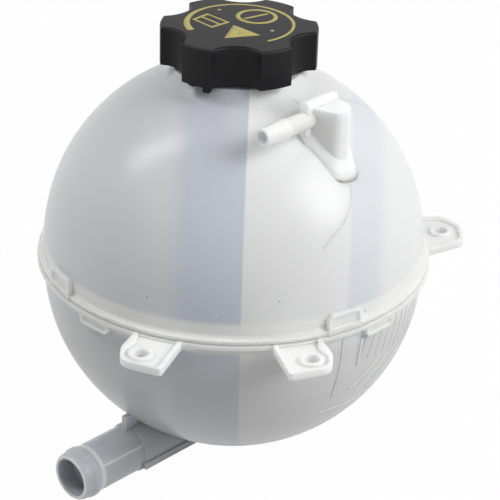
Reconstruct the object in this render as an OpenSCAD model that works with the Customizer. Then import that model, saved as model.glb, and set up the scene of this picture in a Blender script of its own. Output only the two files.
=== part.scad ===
// Coolant expansion tank: a ball of two welded halves with ears, hose nozzles and a screw cap.
// The origin is midway between the two front ear holes, in the weld plane. +Z is up, -Y is the front.
// Azimuths are measured about the ball's axis from the front, positive towards +X.

/* [Ball] */
// Outer radius of the ball
ball_r = 89; // [80:0.5:110]
// Wall of the moulded halves
wall = 2.8; // [2:0.1:3.6]
// Straight wall between the weld and the upper half ball
upper_straight = 3.3; // [2.8:0.1:10]
// Straight wall between the weld and the lower half ball
lower_straight = 6; // [3:0.1:12]

/* [Weld flange] */
// Reach of the lower lip outside the wall
flange_reach = 3; // [2:0.1:5]
// Distance that the upper lip stands back from the lower one
lip_setback = 0.7; // [0.2:0.1:1.2]
// Height of each lip
lip_h = 2.2; // [1.6:0.1:3]
// Depth of the groove that the weld leaves between the lips
weld_groove = 1; // [0.4:0.1:1.5]

/* [Front ears] */
// Distance between the front ear holes
ear_pitch = 72.2; // [66:0.2:76]
// Distance of the front ear holes' line in front of the ball
ear_row = 10.2; // [9:0.1:15]
// Reach of a front ear beyond its hole
ear_tip = 13; // [10:0.1:16]
// Reach of a front ear to its outer side
ear_side = 8.8; // [8:0.1:12]
// Reach of a front ear to its inner side, at the tip
ear_inner = 9.3; // [8:0.1:13]
// Slant of the inner side from the tip to the root
ear_slant = 11.7; // [6:0.1:18]

/* [Side ear] */
// Azimuth of the side ear
side_ear_az = 103.4; // [85:0.2:125]
// Distance of the side ear's hole outside the ball
side_ear_hole = 13; // [10:0.5:17]
// Reach of the side ear beyond its hole
side_ear_tip = 11.4; // [9:0.1:15]
// Width of the side ear at its root
side_ear_w = 36.6; // [30:0.2:44]

/* [Ear trays] */
// Diameter of the ear holes
ear_hole_d = 6.6; // [5:0.1:8]
// Thickness of an ear's floor
ear_floor = 2.2; // [1.6:0.1:3]
// Height of the rim and of the hole's boss above the floor
ear_rim_h = 1.4; // [0.8:0.1:2.5]
// Width of the rim
ear_rim_w = 1.6; // [1:0.1:2.5]
// Width of the boss round an ear hole
ear_boss_w = 2; // [1.5:0.1:3]

/* [Welding lugs] */
// Width of a welding lug
lug_w = 17.4; // [12:0.2:22]
// Reach of an upper lug from the weld plane
lug_h = 9.6; // [6:0.1:12]
// Reach of a lower lug from the weld plane
lug_lower_h = 7.2; // [6:0.1:12]
// How far a lug stands out of the wall
lug_out = 2.4; // [1.5:0.1:3]
// Depth of the pocket in a lug's face
lug_pocket = 0.9; // [0.4:0.1:1.3]
// Azimuth of the upper left lug
lug_upper_left = -57; // [-70:1:-55]
// Azimuth of the lower left lug
lug_lower_left = -40.5; // [-45:0.5:-37]
// Azimuth of the upper right lug
lug_upper_right = 33.8; // [29:0.2:60]
// Azimuth of the lower right lug
lug_lower_right = 47; // [41:0.5:70]
// Azimuth of the small stop under the flange
stop_az = -11; // [-16:0.5:-4]
// Width of the small stop
stop_w = 8; // [5:0.5:12]

/* [Baffles] */
// Thickness of the inner walls
baffle_t = 2; // [1.4:0.1:3]
// X of the left inner wall
baffle_left_x = -23; // [-40:0.5:-21]
// X of the right inner wall
baffle_right_x = 4.5; // [2:0.5:20]
// Width of the notch that joins the chambers, in each inner wall
notch_w = 56; // [30:1:90]
// Depth of the notch from the weld plane
notch_h = 11; // [6:0.5:20]
// X of the stiffening ribs on the left and the right
side_rib_x = 49; // [40:1:60]
// Depth of the stiffening ribs
side_rib_depth = 2.4; // [1.6:0.1:4]

/* [Neck] */
// Bore of the neck
neck_bore_d = 34.4; // [30:0.1:38]
// Wall of the neck
neck_wall = 3.1; // [2.4:0.1:4]
// Height of the neck's rim above the top of the ball
neck_h = 14; // [12:0.5:20]
// Diameter of the collar under the cap
collar_d = 58; // [54:0.5:62]
// Height of the collar's top under the top of the ball
collar_drop = 0.9; // [0.2:0.1:1.6]
// Radius of the hollow fillet from the collar to the ball
collar_fillet = 14; // [8:0.5:18]

/* [Vent boss and nozzle] */
// Height of the boss's roof under the top of the ball
boss_drop = 2; // [1:0.1:5]
// Wall of the boss
boss_wall = 2.5; // [1.8:0.1:3.2]
// Reach of the boss in front of the ball's axis, along the vent nozzle
boss_front = 11.3; // [9:0.1:14]
// Reach of the boss behind the ball's axis, along the vent nozzle
boss_back = 6.4; // [6:0.1:12]
// Distance of the boss's far side from the ball's axis
boss_side = 66; // [64:0.1:70]
// Width of the flare at the foot of the boss
boss_flare = 3; // [1:0.1:5]
// Height of the flare at the foot of the boss
boss_flare_h = 2.8; // [1.5:0.1:9]
// Azimuth that both nozzles point to
nozzle_az = -43; // [-50:1:-37]
// Distance of the vent nozzle's axis from the ball's axis
vent_offset = 51.6; // [50:0.2:54]
// Height of the vent nozzle's axis under the top of the ball
vent_drop = 7.7; // [6.5:0.1:9]
// Distance of the vent nozzle's mouth in front of the ball's axis
vent_mouth = 38; // [32:0.5:46]
// Outer diameter of the vent nozzle
vent_d = 8; // [7:0.1:9]
// Bore of the vent nozzle
vent_bore_d = 5.4; // [4:0.1:6]
// Height of the vent nozzle's barb
vent_barb = 0.5; // [0.3:0.05:0.8]
// Length of the barb's taper to the mouth
vent_barb_l = 10; // [7:0.5:14]
// Length of the land on the barb's crest
vent_land = 4; // [3:0.5:5]
// Reach of the bar over the vent tube in front of the boss
vent_bar_front = 0.8; // [0.4:0.1:4]
// Height of the bar over the vent tube
vent_bar_h = 4.5; // [3:0.1:6]

/* [Outlet nozzle] */
// Height of the outlet's axis over the bottom of the ball
outlet_rise = 12.1; // [11.8:0.1:16]
// Distance of the outlet's mouth from the ball's axis
outlet_mouth = 103; // [95:0.5:125]
// Outer diameter of the outlet nozzle
outlet_d = 22.9; // [19:0.1:23.2]
// Bore of the outlet nozzle
outlet_bore_d = 18.5; // [14:0.1:18.8]
// Height of the outlet's barb
outlet_barb = 0.8; // [0.3:0.05:1.2]
// Length of the barb's taper to the mouth
outlet_barb_l = 5.8; // [5:0.1:12]
// Length of the land on the barb's crest
outlet_land = 2.2; // [1.5:0.1:4]
// Sheath of the saddle round the outlet
saddle_wall = 0.6; // [0.4:0.1:2]
// Distance of the saddle's end face from the ball's axis
saddle_end = 67; // [60:0.5:72]
// Distance of the fin's end from the ball's axis
outlet_fin_end = 70.2; // [68:0.1:78]

/* [Cap] */
// Outer diameter over the cap's lobes
cap_d = 70.4; // [68:0.1:80]
// Height of the cap's skirt
cap_h = 17.6; // [17:0.1:20]
// Gap between the top of the ball and the cap's skirt
cap_gap = 1; // [0.6:0.1:3]
// Depth of the flutes between the lobes
flute_depth = 7; // [4:0.1:7.6]
// Radius of the flutes
flute_r = 13; // [11:0.1:18]
// Angle of the first lobe
lobe_phase = -0.4; // [-30:0.1:30]
// Rounding of the cap's upper edge
cap_edge_r = 1.3; // [0.8:0.1:2.4]
// Wall of the cap's skirt
cap_wall = 2.2; // [1.6:0.1:2.4]
// Thickness of the cap's top
cap_top_t = 2.6; // [2:0.1:3]

/* [Valve insert] */
// Wall of the valve housing
housing_wall = 4.4; // [4:0.1:5]
// Depth of the valve housing in the neck
housing_l = 26.5; // [26:0.5:32]
// Thickness of the housing's flange and of its floor
housing_floor = 2.4; // [1.8:0.1:3]
// Thread ring's wall
ring_wall = 3.4; // [2.4:0.1:3.6]
// Section diameter of the neck seals
oring_d = 3; // [2.4:0.1:3.4]
// Thickness of the valve plate
plate_t = 2; // [1.5:0.1:3]
// Wire of the pressure spring
spring_wire = 1.4; // [1:0.1:1.6]
// Length of the pressure spring as fitted
spring_l = 11.9; // [11:0.1:14]
// Stem diameter of the vacuum valve
stem_d = 3; // [2.4:0.1:3.4]
// Wire of the vacuum spring
small_wire = 0.6; // [0.4:0.05:0.7]
// Length of the vacuum spring as fitted
small_spring_l = 5.2; // [4:0.1:6]

/* [Hidden] */
$fn = 128;
eps = 0.01;
ball_in = ball_r - wall;
top_z = upper_straight + ball_r;
bottom_z = -lower_straight - ball_r;
flange_r = ball_r + flange_reach;
upper_lip_r = flange_r - lip_setback;
groove_half = 0.35;
fillet_r = 2;
ear_hole_x = ear_pitch / 2;
row_y = ball_r + ear_row;
ear_root_y = row_y - ball_r * 0.86;
ear_root_x = 4;
lug_r = 2.8;
rim_z = top_z + neck_h;
bore_r = neck_bore_d / 2;
neck_r = bore_r + neck_wall;
insert_clear = bore_r + 2;
boss_z = top_z - boss_drop;
boss_tilt = asin((vent_offset + boss_side) / 2 / ball_r);
vent_z = top_z - vent_drop;
outlet_z = bottom_z + outlet_rise;
outlet_r = outlet_d / 2;
saddle_drop = 5.9;
saddle_r = outlet_r + saddle_wall;
skirt_z = top_z + cap_gap;
cap_z = skirt_z + cap_h;
cap_r = cap_d / 2;
crown = 0.6;
flute_x = cap_r - flute_depth + flute_r;
lobes = 6;
ceiling_z = cap_z - cap_top_t;
axial_play = 0.3;
fit_gap = 0.3;
seal_gap = 0.06;
thread_h = 1;
ring_r = neck_r + thread_h + 0.2 + ring_wall;
flange_out = neck_r + 0.8;
flange_z = rim_z + 0.2;
flange_top = ceiling_z - axial_play;
housing_r = bore_r - fit_gap;
housing_in = housing_r - housing_wall;
housing_z = rim_z - housing_l;
seat_z = housing_z + housing_floor;
seal_t = 1.2;
plate_z = seat_z + seal_t;
plate_top = plate_z + plate_t;
plate_r = housing_in - 0.9;
abut_z = plate_top + spring_l;
abut_t = 1.8;
spring_r = plate_r - 0.5 - spring_wire / 2;
stem_r = stem_d / 2;
head_t = 1.2;
vac_seal_t = 0.7;
clip_z = plate_top + small_spring_l;
clip_t = 1.2;
small_spring_r = stem_r + 0.3 + small_wire / 2;
natural = [0.86, 0.87, 0.88];
black = [0.07, 0.07, 0.08];
ivory = [0.82, 0.80, 0.72];
rubber = [0.12, 0.12, 0.12];
steel = [0.72, 0.73, 0.75];

function polar(a, r) = [r * sin(a), -r * cos(a)];

// Points of a polygon whose corners are rounded, each with its own radius
function unit(v) = v / norm(v);
function corner(p, q, s, r) = let(
    a = unit(p - q),
    b = unit(s - q),
    half = acos(max(-1, min(1, a * b))) / 2,
    centre = q + unit(a + b) * r / sin(half),
    from = q + a * r / tan(half) - centre,
    to = q + b * r / tan(half) - centre,
    turn = cross(from, to) > 0 ? 1 : -1,
    sweep = acos(max(-1, min(1, unit(from) * unit(to)))))
    [for (i = [0 : 6]) let(t = turn * sweep * i / 6)
        centre + [from[0] * cos(t) - from[1] * sin(t), from[0] * sin(t) + from[1] * cos(t)]];
function rounded(pts, radii) = [for (i = [0 : len(pts) - 1]) let(n = len(pts))
    each radii[i] > 0 ? corner(pts[(i + n - 1) % n], pts[i], pts[(i + 1) % n], radii[i]) : [pts[i]]];

// Everything is modelled about the ball's axis and then set back, so that the ear holes' row is at Y = 0
module about_ball() {
    translate([0, row_y, 0]) children();
}

// A frame at an azimuth: local +X points outwards
module at_azimuth(a) {
    rotate([0, 0, a - 90]) children();
}

// Local +Z runs out along the nozzles' direction, local +X up
module along_nozzle(side, z, start) {
    at_azimuth(nozzle_az) translate([start, side, z]) rotate([0, 90, 0]) rotate([0, 0, 180]) children();
}

module ring(outer, inner, z, h) {
    translate([0, 0, z]) difference() {
        cylinder(r = outer, h = h);
        translate([0, 0, -1]) cylinder(r = inner, h = h + 2);
    }
}

// One half ball with its straight wall, above the weld plane
module half_ball(r, straight) {
    cylinder(r = r, h = straight);
    translate([0, 0, straight]) intersection() {
        sphere(r = r, $fn = 200);
        translate([0, 0, r]) cube([3 * r, 3 * r, 2 * r], center = true);
    }
}

// Lip of one half with the concave fillet that runs into the wall
module lip(r) {
    rotate_extrude() polygon(concat(
        [[ball_r - 1, 0], [r - weld_groove, 0], [r - weld_groove, groove_half], [r, groove_half], [r, lip_h]],
        [for (i = [0 : 4]) let(t = 70 * i / 4)
            [ball_r + fillet_r * (1 - sin(t)), lip_h + fillet_r * (1 - cos(t))]],
        [[ball_r - 1, lip_h + fillet_r + 1.6]]));
}

// Pad with a pocketed face that the welding jig grips, standing on the wall over the lip
module lug(a, h) {
    pocket_r = min(1.4, (h - lip_h - 2.4) / 2);
    at_azimuth(a) difference() {
        translate([ball_r - 4, 0, 0]) rotate([0, 90, 0]) rotate([0, 0, 90]) linear_extrude(4 + lug_out)
            polygon(rounded([[-lug_w / 2, 0], [lug_w / 2, 0], [lug_w / 2, h], [-lug_w / 2, h]],
                [0, 0, lug_r, lug_r]));
        translate([ball_r + lug_out - lug_pocket, 0, 0]) rotate([0, 90, 0]) rotate([0, 0, 90])
            linear_extrude(lug_pocket + 1) polygon(rounded([
                [1.4 - lug_w / 2, lip_h + 1], [lug_w / 2 - 1.4, lip_h + 1],
                [lug_w / 2 - 1.4, h - 1.4], [1.4 - lug_w / 2, h - 1.4]], [pocket_r / 2, pocket_r / 2, pocket_r, pocket_r]));
    }
}

// Tray with a raised rim and a bossed hole at the local origin, its top at the weld plane
module tray(outline, inner) {
    floor_z = -ear_rim_h - ear_floor;
    difference() {
        union() {
            difference() {
                translate([0, 0, floor_z]) linear_extrude(ear_floor + ear_rim_h) polygon(outline);
                translate([0, 0, -ear_rim_h]) linear_extrude(ear_rim_h + 1) polygon(inner);
            }
            translate([0, 0, -ear_rim_h - 1]) cylinder(d = ear_hole_d + 2 * ear_boss_w, h = ear_rim_h + 1);
        }
        translate([0, 0, floor_z - 1]) cylinder(d = ear_hole_d, h = ear_floor + ear_rim_h + 2);
    }
}

// Outline of the right front ear about its hole: a slanted inner side and a round outer one.
// The same outline, drawn in by the rim's width, is the tray's pocket
function front_ear_outline(in) = let(run = ear_slant / (ear_root_y + ear_tip)) rounded([
    [in - ear_inner - run * (ear_root_y + ear_tip - 5 * in), ear_root_y - 4 * in],
    [in - ear_inner, in - ear_tip], [ear_side - in, in + 7 - ear_tip],
    [ear_side - in, 4.5 - in], [ear_root_x + 0.5 - in, ear_root_y - 7 - 4 * in],
    [ear_root_x - in, ear_root_y - 4 * in]],
    [0, 1.5, 7 - in, 7 - in, 2, 0]);

module front_ear() {
    translate([ear_hole_x, -row_y, 0]) tray(front_ear_outline(0), front_ear_outline(ear_rim_w));
}

// Outline of the side ear about its hole, wider towards the front of the tank
function side_ear_outline(in) = let(root = 4 * in - 4 - side_ear_hole, half = side_ear_w / 2)
    rounded([[root, 2.4 * in - half - 2], [side_ear_tip - 3 - in, in + 7 - half], [side_ear_tip - in, 3],
        [side_ear_tip - 6 - in, half - 5 - in], [root, half - 2 - 1.5 * in]],
        [0, 7 - in, 7 - in, 6 - in, 0]);

module side_ear() {
    at_azimuth(side_ear_az) translate([ball_r + side_ear_hole, 0, 0])
        tray(side_ear_outline(0), side_ear_outline(ear_rim_w));
}

// Inner walls across the ball, with a notch at the weld plane, and ribs beside them
module baffles(straight) {
    intersection() {
        half_ball(ball_in + wall / 2, straight);
        union() {
            for (x = [baffle_left_x, baffle_right_x]) difference() {
                translate([x, 0, ball_r / 2]) cube([baffle_t, 3 * ball_r, ball_r * 2], center = true);
                translate([x, 0, 0]) cube([baffle_t + 2, notch_w, 2 * notch_h], center = true);
            }
            difference() {
                for (x = [-side_rib_x, side_rib_x])
                    translate([x, 0, ball_r / 2]) cube([baffle_t, 3 * ball_r, ball_r * 2], center = true);
                half_ball(ball_in - side_rib_depth, straight);
            }
        }
    }
}

// Tower of the vent boss, in the nozzles' frame: its walls are upright, as the mould opens along Z
function boss_outline(in) = rounded([
    [boss_front - in, vent_offset - 3.6 + in], [boss_front - 6.3 - in, boss_side - 1 - in],
    [4 + in - boss_back, boss_side - in], [in - boss_back, boss_side - 7.5 - in],
    [in - boss_back, vent_offset - 3.6 + in]],
    [for (r = [2, 4.5, 4, 4.5, 2]) max(0.6, r - in)]);

// Section of the tower parallel to the ball's surface, at a height above it
module boss_section(in, drift, h) {
    intersection() {
        translate([0, drift, ball_r / 2]) linear_extrude(ball_r) polygon(boss_outline(in));
        translate([0, 0, upper_straight]) rotate([-boss_tilt, 0, 0])
            translate([-ball_r / 2, -ball_r / 2, ball_r + h]) cube([ball_r, ball_r, eps]);
    }
}

module boss_body() {
    at_azimuth(nozzle_az) {
        translate([0, 0, ball_r / 2]) linear_extrude(boss_z - ball_r / 2) polygon(boss_outline(0));
        hull() {
            boss_section(0, 0, boss_flare_h);
            boss_section(-boss_flare, 1.5, -1.2);
        }
    }
}

// Vent tube with its barb, the rounded bar over its root and the two fins under it
module vent_tube() {
    r = vent_d / 2;
    crest = vent_mouth - vent_barb_l;
    bar_top = r + vent_bar_h;
    along_nozzle(vent_offset, vent_z, 0) rotate_extrude() polygon([
        [0, 0], [r, 0], [r, crest - vent_land - 1], [r + vent_barb, crest - vent_land],
        [r + vent_barb, crest], [r, vent_mouth - 0.4], [r - 0.4, vent_mouth], [0, vent_mouth]]);
    at_azimuth(nozzle_az) {
        translate([-boss_back, vent_offset, vent_z]) rotate([90, 0, 90])
            linear_extrude(boss_back + boss_front + vent_bar_front) polygon(rounded([
                [-2.4, 0], [2.4, 0], [2.4, bar_top], [-2.4, bar_top]], [0, 0, 1.9, 1.9]));
        for (fin = [[-1, 6.5, 5.3, 2.5], [8.3, 12.3, 7.3, 1.8]])
            translate([0, vent_offset + 1.8, vent_z]) rotate([90, 0, 0]) linear_extrude(3.2) polygon(rounded([
                [fin[0], 0], [fin[1], 0], [fin[1], -fin[2]], [fin[0], -fin[2]]], [0, 0, fin[3], fin[3]]));
    }
}

// Outlet tube with its rounded bead, on the saddle that carries it to the ball's bottom.
// The saddle is round over the tube and flat below it, with a base plate and a fin
module outlet_body() {
    r = outlet_r;
    crest = outlet_mouth - outlet_barb_l;
    along_nozzle(0, outlet_z, 0) rotate_extrude() polygon([
        [0, 10], [r, 10], [r, crest - outlet_land - 2.2], [r + outlet_barb * 0.4, crest - outlet_land - 1.1],
        [r + outlet_barb, crest - outlet_land], [r + outlet_barb, crest], [r + 0.3, crest + 1.5],
        [r, outlet_mouth - 2.2], [r - 0.4, outlet_mouth - 0.8], [r - 1.1, outlet_mouth], [0, outlet_mouth]]);
    along_nozzle(0, outlet_z, 20) cylinder(r = saddle_r, h = saddle_end - 20);
    at_azimuth(nozzle_az) {
        translate([20, 0.3 - saddle_r, outlet_z - saddle_drop])
            cube([saddle_end - 20, 2 * saddle_r - 0.6, saddle_drop]);
        translate([34, -saddle_r - 0.8, outlet_z - saddle_drop])
            cube([saddle_end - 34 + 1.1, 2 * saddle_r + 1.6, 3]);
        translate([saddle_end - 10, -1.4, outlet_z])
            cube([outlet_fin_end - saddle_end + 10, 2.8, 18.3]);
    }
}

// Lower half: modelled upwards from the weld plane and turned over, apart from what isn't symmetric
module lower_shell() {
    color(natural) about_ball() {
        difference() {
            union() {
                mirror([0, 0, 1]) {
                    half_ball(ball_r, lower_straight);
                    lip(flange_r);
                    lug(lug_lower_left, lug_lower_h);
                    lug(lug_lower_right, lug_lower_h);
                    at_azimuth(stop_az) translate([ball_r - 2, -stop_w / 2, 0])
                        cube([flange_reach + 1.6, stop_w, lip_h + 1.2]);
                }
                front_ear();
                mirror([1, 0, 0]) front_ear();
                side_ear();
                outlet_body();
            }
            translate([0, 0, eps]) mirror([0, 0, 1]) half_ball(ball_in, lower_straight + eps);
            along_nozzle(0, outlet_z, 10) cylinder(d = outlet_bore_d, h = outlet_mouth);
        }
        mirror([0, 0, 1]) baffles(lower_straight);
    }
}

// Collar under the cap: a round platform that runs into the ball in a hollow fillet
module collar() {
    edge = [collar_d / 2, top_z - collar_drop - upper_straight];
    reach = norm(edge);
    far = ball_r + collar_fillet;
    along = (far * far + reach * reach - collar_fillet * collar_fillet) / (2 * reach);
    aside = sqrt(far * far - along * along);
    centre = edge / reach * along + [edge[1], -edge[0]] / reach * aside;
    first = 180 + atan((centre[1] - edge[1]) / (centre[0] - edge[0]));
    last = 180 + atan(centre[1] / centre[0]) - 2.5;
    foot = unit(centre) * (ball_r - 1);
    translate([0, 0, upper_straight]) rotate_extrude() polygon(concat(
        [[0, edge[1]]], [for (i = [0 : 6]) let(t = first + (last - first) * i / 6)
            centre + collar_fillet * [cos(t), sin(t)]], [foot, [0, foot[1]]]));
}

// Upper half with the neck, the collar under the cap and the hollow vent boss
module upper_shell() {
    color(natural) about_ball() {
        difference() {
            union() {
                half_ball(ball_r, upper_straight);
                lip(upper_lip_r);
                lug(lug_upper_left, lug_h);
                lug(lug_upper_right, lug_h);
                boss_body();
                vent_tube();
                collar();
                translate([0, 0, ball_r / 2]) cylinder(r = neck_r, h = rim_z - ball_r / 2);
            }
            translate([0, 0, -eps]) half_ball(ball_in, upper_straight + eps);
            cylinder(r = bore_r, h = rim_z + 1);
            at_azimuth(nozzle_az) translate([0, 0, ball_r / 2])
                linear_extrude(boss_z - boss_wall - ball_r / 2) polygon(boss_outline(boss_wall));
            along_nozzle(vent_offset, vent_z, 4) cylinder(d = vent_bore_d, h = vent_mouth);
        }
        difference() {
            baffles(upper_straight);
            translate([0, 0, housing_z - 4]) cylinder(r = insert_clear, h = ball_r);
        }
    }
}

// Flute cutter: its upper end flares out, which rounds the cap's edge along the flute
module flute_cut() {
    flare = cap_edge_r * 0.7;
    rotate_extrude() polygon(concat(
        [[0, skirt_z - 1], [flute_r, skirt_z - 1]],
        [for (i = [0 : 5]) let(t = 90 * i / 5)
            [flute_r + flare * (1 - cos(t)), cap_z - 0.1 - flare * (1 - sin(t))]],
        [[flute_r + flare, cap_z + 2], [0, cap_z + 2]]));
}

module flutes() {
    for (i = [0 : lobes - 1]) rotate([0, 0, lobe_phase + 360 * i / lobes + 60])
        translate([0, -flute_x, 0]) children();
}

// Lobed cover: hollow lobes, a slightly crowned top and two stop teeth under one lobe
module cap_cover() {
    edge_z = cap_z - cap_edge_r;
    tooth_r = collar_d / 2 + 2.6;
    tooth_root = max(2.6, tooth_r + 1.3 - (cap_r - cap_wall));
    teeth = [[-24, 3.2], [-37, 1.8]];
    color(black) about_ball() difference() {
        union() {
            difference() {
                rotate_extrude() polygon(concat(
                    [[0, skirt_z], [cap_r, skirt_z]],
                    [for (i = [0 : 6]) let(t = 90 * i / 6)
                        [cap_r - cap_edge_r * (1 - cos(t)), edge_z + cap_edge_r * sin(t)]],
                    [for (i = [1 : 4]) let(x = (cap_r - cap_edge_r) * (4 - i) / 4)
                        [x, cap_z + crown * (1 - pow(x / (cap_r - cap_edge_r), 2))]]));
                flutes() flute_cut();
            }
            for (t = teeth) rotate([0, 0, t[0]]) {
                translate([-1.5, -tooth_r - 1.3, skirt_z - t[1]]) cube([3, 2.6, t[1]]);
                translate([-1.5, -tooth_r - 1.3, skirt_z]) cube([3, tooth_root, 2]);
            }
        }
        translate([0, 0, skirt_z - 1]) difference() {
            cylinder(r = cap_r - cap_wall, h = ceiling_z - skirt_z + 1);
            flutes() cylinder(r = flute_r + cap_wall, h = cap_h);
            for (i = [0 : lobes - 1]) rotate([0, 0, lobe_phase + 360 * i / lobes])
                translate([-0.8, -cap_r, 0]) cube([1.6, cap_r - ring_r - 0.2, cap_h]);
            for (t = teeth) rotate([0, 0, t[0]]) translate([-1.5, -tooth_r - 1.3, 0]) cube([3, 2.6, cap_h]);
        }
    }
}

// Ring with the cap's thread. Its lip hooks under the housing's flange and lifts it
module thread_ring() {
    color(black) about_ball() rotate_extrude() polygon([
        [neck_r + thread_h + 0.2, skirt_z + 1], [ring_r, skirt_z + 1], [ring_r, ceiling_z],
        [flange_out + 0.3, ceiling_z], [flange_out + 0.3, flange_z - axial_play],
        [neck_r + 0.3, flange_z - axial_play], [neck_r + 0.3, flange_z - axial_play - 0.9],
        [neck_r + thread_h + 0.2, flange_z - axial_play - 1.8]]);
}

seal_z = [rim_z - 7, housing_z + 4.2];

// Housing that hangs in the neck: flange, two seal grooves, a snap bead, and a floor with the valve's seat
module valve_housing() {
    groove_r = bore_r - seal_gap - oring_d - 0.02;
    color(ivory) about_ball() difference() {
        union() {
            ring(housing_r, housing_in, housing_z, rim_z - housing_z + 0.3);
            ring(flange_out, housing_in, flange_z, flange_top - flange_z);
            ring(housing_in + 1, housing_in * 0.55, housing_z, housing_floor);
            rotate_extrude() polygon([[housing_in + 0.5, abut_z + abut_t], [housing_in - 0.5, abut_z + abut_t],
                [housing_in - 0.5, abut_z + abut_t + 0.4], [housing_in + 0.5, abut_z + abut_t + 1.4]]);
        }
        for (z = seal_z) translate([0, 0, z - oring_d / 2 - 0.1]) difference() {
            cylinder(r = housing_r + 1, h = oring_d + 0.2);
            translate([0, 0, -1]) cylinder(r = groove_r, h = oring_d + 3);
        }
        for (a = [0 : 90 : 270]) rotate([0, 0, a + 45]) translate([0, -2.5, plate_top + 3])
            cube([bore_r + 2, 5, 5]);
    }
}

module neck_seal(z) {
    color(rubber) about_ball() translate([0, 0, z]) rotate_extrude()
        translate([bore_r - seal_gap - oring_d / 2, 0]) circle(d = oring_d, $fn = 48);
}

module upper_neck_seal() {
    neck_seal(seal_z[0]);
}

module lower_neck_seal() {
    neck_seal(seal_z[1]);
}

// Disc snapped under the housing's bead, with a centring step for the spring and air slots
module spring_abutment() {
    color(ivory) about_ball() difference() {
        union() {
            translate([0, 0, abut_z]) cylinder(r = housing_in - 0.04, h = abut_t);
            translate([0, 0, abut_z - 1.6]) cylinder(r = spring_r - spring_wire / 2 - 0.3, h = 2);
        }
        translate([0, 0, abut_z - 3]) cylinder(r = 4.5, h = 6);
        for (a = [0 : 60 : 300]) rotate([0, 0, a]) translate([5.2, -1, abut_z - 3]) cube([2.4, 2, 6]);
    }
}

// Round wire swept along a coil. The end turns close up on their neighbours and are ground flat
function coil_z(t, turns, wire, low, high) = let(
    first = low + wire * 0.1,
    last = high - wire * 0.1,
    rise = wire * 1.08,
    free = (last - first - 2 * rise) / (turns - 2))
    t < 1 ? first + rise * t
        : t > turns - 1 ? last - rise * (turns - t)
        : first + rise + free * (t - 1);

module coil(r, wire, low, high, turns, sides, steps) {
    n = turns * steps;
    w = wire / 2;
    pts = [for (i = [0 : n]) let(a = 360 * i / steps, z = coil_z(i / steps, turns, wire, low, high))
        for (j = [0 : sides - 1]) let(b = 360 * j / sides, x = r + w * cos(b))
            [x * cos(a), x * sin(a), max(low, min(high, z + w * sin(b)))]];
    side_faces = [for (i = [0 : n - 1]) for (j = [0 : sides - 1]) let(k = (j + 1) % sides)
        [i * sides + j, i * sides + k, (i + 1) * sides + k, (i + 1) * sides + j]];
    start_face = [for (j = [0 : sides - 1]) sides - 1 - j];
    end_face = [for (j = [0 : sides - 1]) n * sides + j];
    polyhedron(points = pts, faces = concat(side_faces, [start_face], [end_face]));
}

module pressure_spring() {
    color(steel) about_ball() coil(spring_r, spring_wire, plate_top, abut_z, 6, 6, 20);
}

// Plate that lifts off the seat, with a centring ring for the spring and the vacuum valve's hole
module pressure_plate() {
    centring = spring_r - spring_wire / 2 - 0.3;
    color(ivory) about_ball() difference() {
        union() {
            translate([0, 0, plate_z]) cylinder(r = plate_r, h = plate_t);
            ring(centring, centring - 1.4, plate_top - eps, 2);
        }
        translate([0, 0, plate_z - 1]) cylinder(r = stem_r + 0.08, h = plate_t + 2);
        for (a = [0 : 90 : 270]) rotate([0, 0, a]) translate([stem_r + 0.6, -0.6, plate_z - 1])
            cube([1.1, 1.2, plate_t + 2]);
    }
}

module pressure_seal() {
    color(rubber) about_ball() ring(plate_r - 1, housing_in * 0.55 + 0.4, seat_z, seal_t);
}

// Mushroom valve: its head closes the plate's holes from below
module vacuum_valve() {
    head_z = plate_z - vac_seal_t - head_t;
    color(ivory) about_ball() {
        translate([0, 0, head_z]) cylinder(r = housing_in * 0.55 - 1.6, h = head_t);
        translate([0, 0, head_z]) cylinder(r = stem_r, h = clip_z + clip_t + 0.8 - head_z);
    }
}

module vacuum_seal() {
    color(rubber) about_ball() ring(housing_in * 0.55 - 1.9, stem_r + 0.05, plate_z - vac_seal_t, vac_seal_t);
}

module vacuum_spring() {
    color(steel) about_ball() coil(small_spring_r, small_wire, plate_top, clip_z, 5, 6, 16);
}

module vacuum_clip() {
    color(ivory) about_ball() ring(small_spring_r + small_wire / 2 + 0.6, stem_r + 0.02, clip_z, clip_t);
}

lower_shell();
upper_shell();
cap_cover();
thread_ring();
valve_housing();
upper_neck_seal();
lower_neck_seal();
spring_abutment();
pressure_spring();
pressure_plate();
pressure_seal();
vacuum_valve();
vacuum_seal();
vacuum_spring();
vacuum_clip();
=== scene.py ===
"""Looks of the coolant expansion tank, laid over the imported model.

Lengths are in metres, in the model's own frame: +Z up along the neck, -Y to the front,
origin midway between the two front ear holes. Sections follow the tank as it is put together.
"""

import math

import bmesh
import bpy
import mathutils
import numpy as np
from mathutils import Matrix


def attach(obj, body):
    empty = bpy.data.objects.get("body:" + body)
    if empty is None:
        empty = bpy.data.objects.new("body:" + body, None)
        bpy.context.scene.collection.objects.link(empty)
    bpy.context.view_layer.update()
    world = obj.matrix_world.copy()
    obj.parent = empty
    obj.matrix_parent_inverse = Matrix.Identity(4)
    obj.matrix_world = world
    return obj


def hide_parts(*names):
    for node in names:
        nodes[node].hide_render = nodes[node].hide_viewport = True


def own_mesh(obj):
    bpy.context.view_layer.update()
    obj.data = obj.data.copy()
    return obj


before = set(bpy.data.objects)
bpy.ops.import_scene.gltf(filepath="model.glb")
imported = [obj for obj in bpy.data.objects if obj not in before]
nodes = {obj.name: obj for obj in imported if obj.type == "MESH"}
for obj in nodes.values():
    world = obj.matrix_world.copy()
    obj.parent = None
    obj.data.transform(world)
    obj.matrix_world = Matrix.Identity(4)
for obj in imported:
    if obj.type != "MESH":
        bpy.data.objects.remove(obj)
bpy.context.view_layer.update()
MM = 0.001

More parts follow.
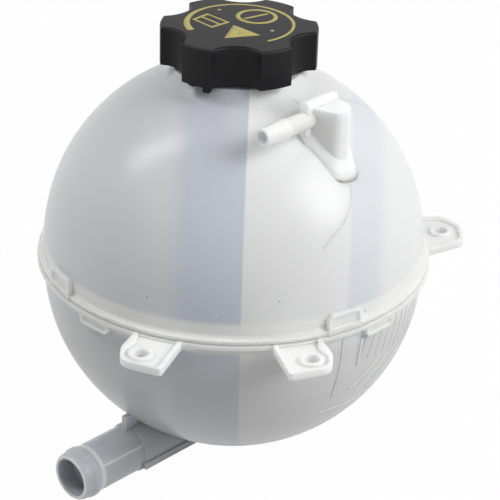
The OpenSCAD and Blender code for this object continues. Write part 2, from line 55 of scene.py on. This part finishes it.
# ---- The two halves of the ball
# Milky polypropylene, injection moulded and hot-plate welded at the flange. Light goes through
# the wall, so the chambers behind it are painted into its colour as paler and bluer zones of light
# and shade, and thick places look whiter.
BALL_Y = 99.2 * MM
BALL_R = 89 * MM
UPPER_CENTRE, LOWER_CENTRE = 3.3 * MM, -6 * MM
BAFFLES = (-23 * MM, 4.5 * MM)
SIDE_RIB = 49 * MM
NOZZLE_AZIMUTH = math.radians(-43)


class Link:
    """Wraps a shader socket. An expression on it adds Math nodes: a * b, a + b, 1 - a, a ** b."""

    def __init__(self, tree, socket):
        self.tree, self.socket = tree, socket

    def node(self, kind, settings, inputs, output=0):
        """Adds a node of any type: its settings are set first, then its sockets' values or links."""
        made = self.tree.nodes.new(kind)
        for name, value in settings.items():
            setattr(made, name, value)
        for key, value in inputs.items():
            if isinstance(value, Link):
                self.tree.links.new(value.socket, made.inputs[key])
            else:
                made.inputs[key].default_value = value
        return Link(self.tree, made.outputs[output])

    def maths(self, operation, a, b=0.0):
        return self.node("ShaderNodeMath", {"operation": operation}, {0: a, 1: b})

    def __add__(self, other):
        return self.maths("ADD", self, other)

    def __mul__(self, other):
        return self.maths("MULTIPLY", self, other)

    def __sub__(self, other):
        return self.maths("SUBTRACT", self, other)

    def __rsub__(self, other):
        return self.maths("SUBTRACT", other, self)

    def __pow__(self, other):
        return self.maths("POWER", self, other)

    def __abs__(self):
        return self.maths("ABSOLUTE", self)

    __radd__, __rmul__ = __add__, __mul__

    def step(self, low, high):
        """0 below low and 1 above high, with a smooth change between them."""
        return self.node("ShaderNodeMapRange", {"interpolation_type": "SMOOTHSTEP"},
                         {"Value": self, "From Min": low, "From Max": high})

    def near(self, centre, half, soft):
        """1 within half of the centre, fading to 0 over soft."""
        return 1 - abs(self - centre).step(half, half + soft)

    def noise(self, scale, detail=2.0):
        """Cloudy noise over a place, between 0 and 1."""
        return self.node("ShaderNodeTexNoise", {}, {"Vector": self, "Scale": scale, "Detail": detail})

    def mix(self, first, second):
        """Colour between first and second, by this link as the factor."""
        return self.node("ShaderNodeMix", {"data_type": "RGBA"},
                         {"Factor": self, 6: colour(first), 7: colour(second)}, 2)


def colour(value):
    """A link as it is, and a tuple of three with its alpha."""
    return value if isinstance(value, Link) else (*value, 1)


def larger(a, b):
    """The larger of two values, one of them a link."""
    held = a if isinstance(a, Link) else b
    return held.maths("MAXIMUM", a, b)


def finish(name, **sockets):
    """A material with one Principled shader. Gives it, its shader and the place on the object."""
    made = bpy.data.materials.new(name)
    made.use_nodes = True
    shader = made.node_tree.nodes["Principled BSDF"]
    for key, value in sockets.items():
        shader.inputs[key.replace("_", " ")].default_value = value
    place = made.node_tree.nodes.new("ShaderNodeTexCoord").outputs["Object"]
    return made, shader, Link(made.node_tree, place)


def axes(place):
    """The X, Y and Z of a place as three links."""
    split = place.tree.nodes.new("ShaderNodeSeparateXYZ")
    place.tree.links.new(place.socket, split.inputs[0])
    return [Link(place.tree, out) for out in split.outputs]


def drive(shader, name, link):
    """Links a socket of the shader."""
    link.tree.links.new(link.socket, shader.inputs[name])


def grain(shader, height, distance, strength=1.0):
    """Bump from a height between 0 and 1, into the shader's normal."""
    drive(shader, "Normal", height.node("ShaderNodeBump", {}, {
        "Height": height, "Distance": distance, "Strength": strength}))


def coat(node, made):
    """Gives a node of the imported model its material."""
    mesh = nodes[node].data
    mesh.materials.clear()
    mesh.materials.append(made)


def along_and_aside(x, y):
    """Distance out along the nozzles' direction, and across it, from the ball's axis."""
    out, back = math.sin(NOZZLE_AZIMUTH), -math.cos(NOZZLE_AZIMUTH)
    return x * out + (y - BALL_Y) * back, x * -back + (y - BALL_Y) * out


def spot(place, centre, radius):
    """1 within radius of a point, given in millimetres from the ball's axis and the weld plane."""
    at = (centre[0] * MM, centre[1] * MM + BALL_Y, centre[2] * MM)
    gap = place.node("ShaderNodeVectorMath", {"operation": "DISTANCE"}, {0: place, 1: at}, 1)
    return 1 - gap.step(radius * 0.5, radius * 1.5)


milky, shader, place = finish("milky_polypropylene", IOR=1.49, Specular_IOR_Level=0.38,
                              Subsurface_Weight=1.0, Subsurface_Radius=(1.0, 1.0, 1.1), Subsurface_Scale=4 * MM)
x, y, z = axes(place)
behind = y - BALL_Y
around = (x * x + behind * behind) ** 0.5
rise = larger(larger(z - UPPER_CENTRE, LOWER_CENTRE - z), 0.0)
proud = (around * around + rise * rise) ** 0.5 - BALL_R

# Painted light and shade of the chambers behind the wall, from left to right: the middle one darker
# and bluer where the baffles keep light out, the right one and part of the crown lighter where the
# lamp at the right shines in, and a bluer painted shade beside the side rib.
LEFT_CHAMBER_SHADE, MIDDLE_CHAMBER_SHADE, RIGHT_CHAMBER_LIGHT = (0.665, 0.675, 0.69), (0.58, 0.61, 0.68), (0.78, 0.785, 0.785)
SIDE_RIB_SHADE, PAINTED_HIGHLIGHT = (0.60, 0.64, 0.72), (0.72, 0.73, 0.735)
left = 1 - x.step(BAFFLES[0] - 6 * MM, BAFFLES[0] + 5 * MM)
crown = z.step(60 * MM, 92 * MM) * x.step(-16 * MM, 5 * MM)
right = larger(x.step(BAFFLES[1] + 0.4 * MM, BAFFLES[1] + 1.6 * MM), crown * 0.35)
side = x.step(SIDE_RIB + 1 * MM, SIDE_RIB + 4 * MM) * (1 - x.step(62 * MM, 70 * MM))
low = 1 - z.step(-12 * MM, -6 * MM)
tone = left.mix(MIDDLE_CHAMBER_SHADE, LEFT_CHAMBER_SHADE)
tone = right.mix(tone, RIGHT_CHAMBER_LIGHT)
tone = (side * (1 - low) * 0.5).mix(tone, SIDE_RIB_SHADE)
# Painted highlight: a paler upright streak left of the middle, where the strip lamp at the left is mirrored.
tone = (x.near(-33 * MM, 3 * MM, 12 * MM) * z.step(15 * MM, 60 * MM) * 0.4).mix(tone, PAINTED_HIGHLIGHT)

# Painted shade: the wall is darker near the bottom, the top and the lower flanks, where less light comes
# through.
LOW_SHADE, BOTTOM_SHADE = (0.50, 0.495, 0.49), (0.12, 0.117, 0.113)
DOME_SHADE, FLANK_SHADE = (0.36, 0.37, 0.39), (0.28, 0.275, 0.27)
deep = 1 - z.step(-95 * MM, -62 * MM)
dome = z.step(48 * MM, 90 * MM) * (1 - right)
flank = abs(x).step(58 * MM, 84 * MM) * (1 - z.step(-45 * MM, -8 * MM))
tone = (low * 0.4).mix(tone, LOW_SHADE)
tone = (deep * 0.8).mix(tone, BOTTOM_SHADE)
tone = (dome * 0.45).mix(tone, DOME_SHADE)
tone = (flank * 0.5).mix(tone, FLANK_SHADE)
tone = (place.noise(14, 1.0) * 0.2).mix(tone, (0.60, 0.61, 0.63))

# The weld band, the ears and the vent boss are thicker, so they look whiter. The outlet is coloured
# greyer and bluer, with paler bands at its ring and its end and a pale line along it.
WELD, BOSS, EARS = (0.84, 0.84, 0.825), (0.89, 0.895, 0.905), (0.80, 0.805, 0.80)
OUTLET, OUTLET_EDGE = (0.50, 0.505, 0.54), (0.80, 0.80, 0.79)
band = (1 - abs(z - 1.5 * MM).step(6 * MM, 9 * MM)) * around.step(BALL_R - 4 * MM, BALL_R - 2 * MM)
along, aside = along_and_aside(x, y)
raised = proud.step(0.4 * MM, 1.6 * MM)
fitting = raised * (1 - z.near(0, 12 * MM, 2 * MM))
boss = fitting * z.step(20 * MM, 24 * MM) * aside.step(40 * MM, 44 * MM)
outlet = fitting * (1 - z.step(-62 * MM, -58 * MM))
ring = along.near(92.4 * MM, 0.8 * MM, 0.7 * MM) + along.step(102.2 * MM, 102.8 * MM)
streak = along.near(80 * MM, 12 * MM, 0.5 * MM) * aside.step(0, 1 * MM)
streak = streak * z.near(-77 * MM, 0.25 * MM, 0.4 * MM)
tone = (band * 0.85).mix(tone, WELD)
tone = (boss * 0.9).mix(tone, BOSS)
tone = (raised * z.near(0, 10 * MM, 1 * MM) * 0.7).mix(tone, EARS)
tone = (outlet * 0.85).mix(tone, OUTLET)
tone = (outlet * larger(ring, streak) * 0.6).mix(tone, OUTLET_EDGE)

# Dark specks in the wall, a hairline of them behind the vent nozzle, and one bright speck.
SPECK_R = 0.35 * MM
DARK_SPECKS = [(21.6, -84.9, 18.9), (-35.0, -80.7, 16.7), (59.3, -66.4, 5.1), (23.3, -22.3, 86.2),
               (24.3, -22.8, 85.8), (25.3, -23.3, 85.3), (26.1, -23.9, 84.9), (26.8, -24.9, 84.4)]
BRIGHT_SPECK = (-5.0, -88.3, 13.1)
dirt = 0.0
for centre in DARK_SPECKS:
    dirt = larger(spot(place, centre, SPECK_R), dirt)
tone = (dirt * 0.7).mix(tone, (0.10, 0.095, 0.085))
tone = spot(place, BRIGHT_SPECK, SPECK_R).mix(tone, (0.95, 0.95, 0.95))
drive(shader, "Base Color", tone)
drive(shader, "Roughness", place.noise(60) * 0.1 + 0.26)
grain(shader, place.noise(55, 1.0), 0.2 * MM, 0.4)
coat("lower_shell", milky)
coat("upper_shell", milky)

# ---- Raised ribs and flow lines
# Field of fine slanting ribs with a border, moulded on the lower half below the right ear.
# The two thin lines on the upper half are flow lines that the moulding leaves.
THIN, THICK = 0.45 * MM, 0.8 * MM


def on_ball(azimuths, heights):
    """Points on the ball's wall at azimuths a (degrees) and heights, and the outward normals there:
    reach * (sin a, -cos a), where reach is the square root of radius squared less rise squared."""
    turn = np.radians(azimuths)
    rise = np.where(heights > UPPER_CENTRE, heights - UPPER_CENTRE, np.minimum(heights - LOWER_CENTRE, 0))
    reach = np.sqrt(BALL_R ** 2 - rise ** 2)
    out = np.stack([reach * np.sin(turn), -reach * np.cos(turn), rise], 1) / BALL_R
    points = np.stack([reach * np.sin(turn), BALL_Y - reach * np.cos(turn), heights], 1)
    return points, out


def loft(name, grid, made, body):
    """Closed skin over a grid of points: each row is a closed loop, joined to the next row by quads,
    and the first and last rows are closed by flat ends."""
    rows, columns = grid.shape[:2]
    first = np.arange(rows - 1)[:, None] * columns + np.arange(columns)[None, :]
    after = np.arange(rows - 1)[:, None] * columns + (np.arange(columns)[None, :] + 1) % columns
    quads = np.stack([first, after, after + columns, first + columns], 2).reshape(-1, 4)
    faces = quads.tolist() + [list(range(columns))[::-1], list(range((rows - 1) * columns, rows * columns))]
    mesh = bpy.data.meshes.new(name)
    mesh.from_pydata(grid.reshape(-1, 3).tolist(), [], faces)
    mesh.polygons.foreach_set("use_smooth", np.ones(len(faces), bool))
    mesh.materials.append(made)
    mesh.validate()
    held = bpy.data.objects.new(name, mesh)
    bpy.context.scene.collection.objects.link(held)
    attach(held, body)


def bead(name, path, normals, half_width, height, made, body, sink=0.3 * MM, arc=6):
    """Half-round bead along a path: half_width * cos t across it and height * sin t over the surface, for
    t from 0 to pi. Its foot is sunk in the surface, and its two ends are drawn in."""
    ahead = np.gradient(path, axis=0)
    side = np.cross(ahead, normals)
    side /= np.linalg.norm(side, axis=1)[:, None]
    t = np.linspace(0, math.pi, arc)
    across = np.concatenate([half_width * np.cos(t), [-half_width, half_width]])
    up = np.concatenate([height * np.sin(t), [-sink, -sink]])
    ends = np.minimum(np.arange(len(path)), np.arange(len(path))[::-1])
    swell = np.where(ends == 0, 0.35, 1.0)[:, None, None]
    grid = path[:, None] + swell * (side[:, None] * across[None, :, None]
                                    + normals[:, None] * np.maximum(up, 0)[None, :, None])
    grid += normals[:, None] * np.minimum(up, 0)[None, :, None]
    loft(name, grid, made, body)


def rib(name, places, half_width, height, made):
    """Bead on the ball through places, each an azimuth in degrees and a height in millimetres."""
    t = np.linspace(0, len(places) - 1, 30)
    azimuths, heights = (np.interp(t, range(len(places)), values) for values in zip(*places))
    points, normals = on_ball(azimuths, heights * MM)
    bead(name, points, normals, half_width, height, made, "tank")


pale, shader, place = finish("milky_rib", Roughness=0.32, IOR=1.49)
drive(shader, "Base Color", place.noise(200).mix((0.66, 0.665, 0.665), (0.74, 0.745, 0.74)))
rib("rib_border", [(34.4, -4.6), (34.2, -39)], THIN, 0.25 * MM, pale)
rib("rib_border_low", [(31.5, -48.5), (62, -51)], THIN, 0.25 * MM, pale)
rib("rib_post", [(41.3, -7.8), (41.0, -23)], THICK, 0.35 * MM, pale)
rib("flow_line", [(47.8, 63.6), (46, 57.5), (43.4, 51.5), (37.9, 45.5), (32.7, 41.6), (28.5, 38)],
    THIN * 0.6, 0.1 * MM, pale)
rib("flow_line_back", [(83.6, 79.1), (93.2, 74.6), (99.1, 68.2)], THIN * 0.7, 0.15 * MM, pale)
for number in range(9):
    step = 3.4 * number
    hatch = [(44 + step, -4.6 - 0.2 * number), (41.6 + step, -20.5 - 0.8 * number)]
    rib(f"rib_hatch_{number}", hatch, THIN * 0.8, 0.2 * MM, pale)
STROKES = [[(51.6, -24.5), (40.3, -38)], [(55.4, -27), (44.5, -41.5)], [(63, -29), (51.5, -45)]]
for number, stroke in enumerate(STROKES):
    rib(f"rib_stroke_{number}", stroke, THICK, 0.35 * MM, pale)

# ---- The valve insert
# Ivory polyamide mouldings with rubber rings and stainless springs. They hang in the neck
# under the cap, and show only when the cap is off.
ivory, shader, place = finish("ivory_polyamide", Roughness=0.42)
drive(shader, "Base Color", place.noise(120).mix((0.60, 0.56, 0.44), (0.66, 0.62, 0.50)))
grain(shader, place.noise(900), 0.05 * MM)
for node in ("valve_housing", "spring_abutment", "pressure_plate", "vacuum_valve", "vacuum_clip"):
    coat(node, ivory)

nitrile, shader, place = finish("nitrile_rubber", Roughness=0.5)
drive(shader, "Base Color", place.noise(300).mix((0.018, 0.018, 0.019), (0.035, 0.035, 0.036)))
for node in ("upper_neck_seal", "lower_neck_seal", "pressure_seal", "vacuum_seal"):
    coat(node, nitrile)

wire, shader, place = finish("spring_wire", Metallic=1.0, Roughness=0.25)
drive(shader, "Base Color", place.noise(700).mix((0.50, 0.50, 0.51), (0.62, 0.62, 0.63)))
for node in ("pressure_spring", "vacuum_spring"):
    coat(node, wire)


def coil(name, node, body):
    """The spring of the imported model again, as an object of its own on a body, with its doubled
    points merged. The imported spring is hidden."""
    held = bpy.data.objects.new(name, nodes[node].data.copy())
    merged = bmesh.new()
    merged.from_mesh(held.data)
    bmesh.ops.remove_doubles(merged, verts=merged.verts, dist=0.0001 * MM)
    merged.to_mesh(held.data)
    merged.free()
    bpy.context.scene.collection.objects.link(held)
    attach(held, body)
    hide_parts(node)
    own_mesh(held)


coil("pressure_coil", "pressure_spring", "valve_insert")
coil("vacuum_coil", "vacuum_spring", "pressure_stage")

# ---- The cap
# Black polypropylene cover with six lobes, moulded with a fine spark texture, over the thread ring
# that is welded into it. Neck and ring carry a thread of 4.5 mm pitch.
satin, shader, place = finish("black_polypropylene", IOR=1.5, Specular_IOR_Level=0.2)
speck = place.noise(2600, 2.0)
drive(shader, "Base Color", place.noise(90).mix((0.0045, 0.004, 0.005), (0.008, 0.007, 0.0085)))
drive(shader, "Roughness", speck * 0.14 + 0.38)
grain(shader, speck, 0.04 * MM, 0.6)
coat("cap_cover", satin)
coat("thread_ring", satin)

PITCH = 4.5 * MM
NECK_R, RING_R, THREAD_Z = 20.3 * MM, 21.5 * MM, 95.4 * MM


def thread(name, radius, inward, start, turns, made, body):
    """Helical bead on a cylinder: at angle t its height is start + pitch * t / 2 pi. It faces in or out."""
    t = np.linspace(0, turns * 2 * math.pi, int(turns * 48))
    out = np.stack([np.cos(t), np.sin(t), np.zeros_like(t)], 1)
    path = out * radius + np.stack([0 * t, 0 * t + BALL_Y, start + PITCH * t / (2 * math.pi)], 1)
    bead(name, path, -out if inward else out, 0.75 * MM, 0.8 * MM, made, body)


thread("neck_thread", NECK_R, False, THREAD_Z, 1.75, milky, "tank")
thread("ring_thread", RING_R, True, THREAD_Z + PITCH / 2, 1.2, satin, "cap")

# ---- The print on the cap's top
# Pad printed in one ink: a broken ring, and plain shapes inside it, with no words.
ink, shader, place = finish("olive_ink", Roughness=0.55)
drive(shader, "Base Color", place.noise(400, 3.0).mix((0.36, 0.31, 0.085), (0.43, 0.38, 0.115)))
CAP_TOP, CROWN, CROWN_R = 110.9 * MM, 0.6 * MM, 33.9 * MM
INK = 0.05 * MM


def printed(outer, inner):
    """Grid of a band of ink between two outlines with as many points each. Its top lies INK over the cap's
    crown, which falls by CROWN * (distance / CROWN_R) squared."""
    loops = np.stack([inner, inner, outer, outer]) * MM
    over = np.array([-0.1 * MM, INK, INK, -0.1 * MM])[:, None]
    far = np.hypot(loops[..., 0], loops[..., 1])
    up = CAP_TOP + CROWN * (1 - (far / CROWN_R) ** 2) + over
    return np.dstack([loops[..., 0], loops[..., 1] + BALL_Y, up])


def ink_band(name, outer, inner, closed=True):
    """Piece of print. A closed outline goes right round; an open one has two flat ends."""
    grid = printed(outer, inner).transpose(1, 0, 2)
    if closed:
        grid = np.concatenate([grid, grid[:1]])
    loft(name, grid, ink, "cap")


def arc(centre, radius, start, end, count=72):
    """Points about a centre between two angles t in degrees: radius * (cos t, sin t). The radius may vary."""
    t = np.radians(np.linspace(start, end, count))
    return np.stack([centre[0] + radius * np.cos(t), centre[1] + radius * np.sin(t)], 1)


def edges(corners, count=16):
    """Points along the sides of a polygon, closed at its first corner."""
    corners = np.array(corners + corners[:1], float)
    steps = np.linspace(0, 1, count, endpoint=False)[:, None]
    sides = [a + (b - a) * steps for a, b in zip(corners[:-1], corners[1:])]
    return np.concatenate(sides)


def inset(corners, depth):
    """The polygon's corners moved towards its middle by a share."""
    middle = np.mean(corners, 0)
    return [tuple(middle + (np.array(c) - middle) * (1 - depth)) for c in corners]


# The ring starts thin and swells near its middle and at its end.
RING_EDGE, RING_START, RING_END = 24.7, -58, 206
sweep = np.linspace(0, 1, 120)
thickness = 1.3 + 1.7 * np.exp(-((sweep - 1) / 0.22) ** 2) + 0.5 * np.exp(-((sweep - 0.38) / 0.12) ** 2)
ink_band("print_ring", arc((0, 0), RING_EDGE, RING_START, RING_END, 120),
         arc((0, 0), RING_EDGE - thickness, RING_START, RING_END, 120), False)
DISC = (7.5, 8.6)
ink_band("print_disc", arc(DISC, 9.4, 0, 360), arc(DISC, 7.5, 0, 360))
BAR = [(1.6, 5.6), (2.6, 4.6), (12.9, 12.2), (11.9, 13.2)]
ink_band("print_bar", edges(BAR), edges(inset(BAR, 0.9)))
WEDGE = [(-2.5, -3.2), (-6.1, -19.1), (9.5, -14.3)]
ink_band("print_wedge", edges(WEDGE), edges(inset(WEDGE, 0.97)))
LEAF = [(-14.7, 10.6), (-21.2, 2.9), (-11.9, -7.2), (-4.3, -0.2)]
ink_band("print_leaf", edges(LEAF), edges(inset(LEAF, 0.2)))
FOLD = [(-18.3, 6.6), (-17.6, 7.4), (-7.6, -3.0), (-8.3, -3.8)]
ink_band("print_fold", edges(FOLD), edges(inset(FOLD, 0.9)))
for number, centre in enumerate([(-9.5, 15.9), (14.6, -8.2)]):
    ink_band(f"print_dot_{number}", arc(centre, 0.9, 0, 360, 24), arc(centre, 0.1, 0, 360, 24))

# ---- Floor, light and camera
# White studio table and backdrop, a soft lamp at the right and a strip at the left, and the
# photograph's point of view.
FLOOR_Z = -95.3 * MM


def sheet_of_light(name, at, aim, size, watts):
    """Area lamp at a place, turned to face another place."""
    lamp = bpy.data.lights.new(name, "AREA")
    lamp.shape, lamp.size, lamp.size_y, lamp.energy = "RECTANGLE", *size, watts
    held = bpy.data.objects.new(name, lamp)
    held.location = at
    toward = np.array(aim) - np.array(at)
    held.rotation_euler = (math.atan2(math.hypot(toward[0], toward[1]), -toward[2]), 0,
                           math.atan2(toward[1], toward[0]) - math.pi / 2)
    bpy.context.scene.collection.objects.link(held)


sheet_of_light("side_softbox", (0.88, -0.24, 0.74), (0, BALL_Y, 0.02), (0.5, 0.6), 9)
sheet_of_light("left_strip", (-0.70, 0.12, 0.88), (0, BALL_Y, 0.02), (0.10, 0.6), 4)

bpy.ops.mesh.primitive_grid_add(x_subdivisions=2, y_subdivisions=2, size=8)
floor = bpy.context.object
floor.name = "studio_floor"
floor.data.transform(mathutils.Matrix.Translation((0, 0, FLOOR_Z)))
paper = bpy.data.materials.new("white_paper")
paper.use_nodes = True
tree = paper.node_tree
rays = tree.nodes.new("ShaderNodeLightPath")
white = tree.nodes.new("ShaderNodeEmission")
blend = tree.nodes.new("ShaderNodeMixShader")
seen = larger(Link(tree, rays.outputs["Is Camera Ray"]), Link(tree, rays.outputs["Is Transmission Ray"]))
seen = larger(seen, Link(tree, rays.outputs["Is Glossy Ray"]))
tree.nodes["Principled BSDF"].inputs["Base Color"].default_value = (0.5, 0.5, 0.5, 1)
SHADOW = 0.015
tree.links.new((seen * (1 - SHADOW)).socket, blend.inputs["Fac"])
tree.links.new(tree.nodes["Principled BSDF"].outputs[0], blend.inputs[1])
tree.links.new(white.outputs[0], blend.inputs[2])
tree.links.new(blend.outputs[0], tree.nodes["Material Output"].inputs["Surface"])
floor.data.materials.append(paper)

world = bpy.data.worlds.new("studio")
bpy.context.scene.world = world
world.use_nodes = True
tree = world.node_tree
rays = tree.nodes.new("ShaderNodeLightPath")
backdrop = larger(Link(tree, rays.outputs["Is Camera Ray"]), Link(tree, rays.outputs["Is Transmission Ray"]))
backdrop = larger(backdrop, Link(tree, rays.outputs["Is Glossy Ray"]))
AMBIENT = 0.46
drive(tree.nodes["Background"], "Strength", backdrop * (1 - AMBIENT) + AMBIENT)
tree.nodes["Background"].inputs["Color"].default_value = (1, 1, 1, 1)

# The camera's values were worked out from the flange's ellipse and the cap's outline.
FOCUS = 1750.0
DISTANCE = 826.04 * MM
ELEVATION, ROLL, PAN, TILT = 0.488497, 0.02585, -0.009352, -0.000826
EYE_DROP = 1.36 * MM
CAMERA_AZIMUTH = math.radians(1.07)


def turn(axis, angle):
    """Rotation matrix about the x, y or z axis."""
    c, s = math.cos(angle), math.sin(angle)
    i, j = {"x": (1, 2), "y": (2, 0), "z": (0, 1)}[axis]
    made = np.eye(3)
    made[i, i], made[i, j], made[j, i], made[j, j] = c, -s, s, c
    return made


upright = np.column_stack([(1, 0, 0), (0, math.sin(ELEVATION), math.cos(ELEVATION)),
                           (0, -math.cos(ELEVATION), math.sin(ELEVATION))])
swing = turn("z", CAMERA_AZIMUTH)
view = np.eye(4)
view[:3, :3] = swing @ upright @ turn("y", PAN) @ turn("x", TILT) @ turn("z", ROLL)
eye = (0, -DISTANCE * math.cos(ELEVATION), DISTANCE * math.sin(ELEVATION) - EYE_DROP)
view[:3, 3] = swing @ eye + (0, BALL_Y, 0)
lens = bpy.data.cameras.new("camera")
lens.sensor_width, lens.lens = 36, FOCUS / 500 * 36
lens.clip_start = 0.01
camera = bpy.data.objects.new("camera", lens)
camera.matrix_world = mathutils.Matrix(view.tolist())
bpy.context.scene.collection.objects.link(camera)
bpy.context.scene.camera = camera
bpy.context.scene.view_settings.view_transform = "Standard"
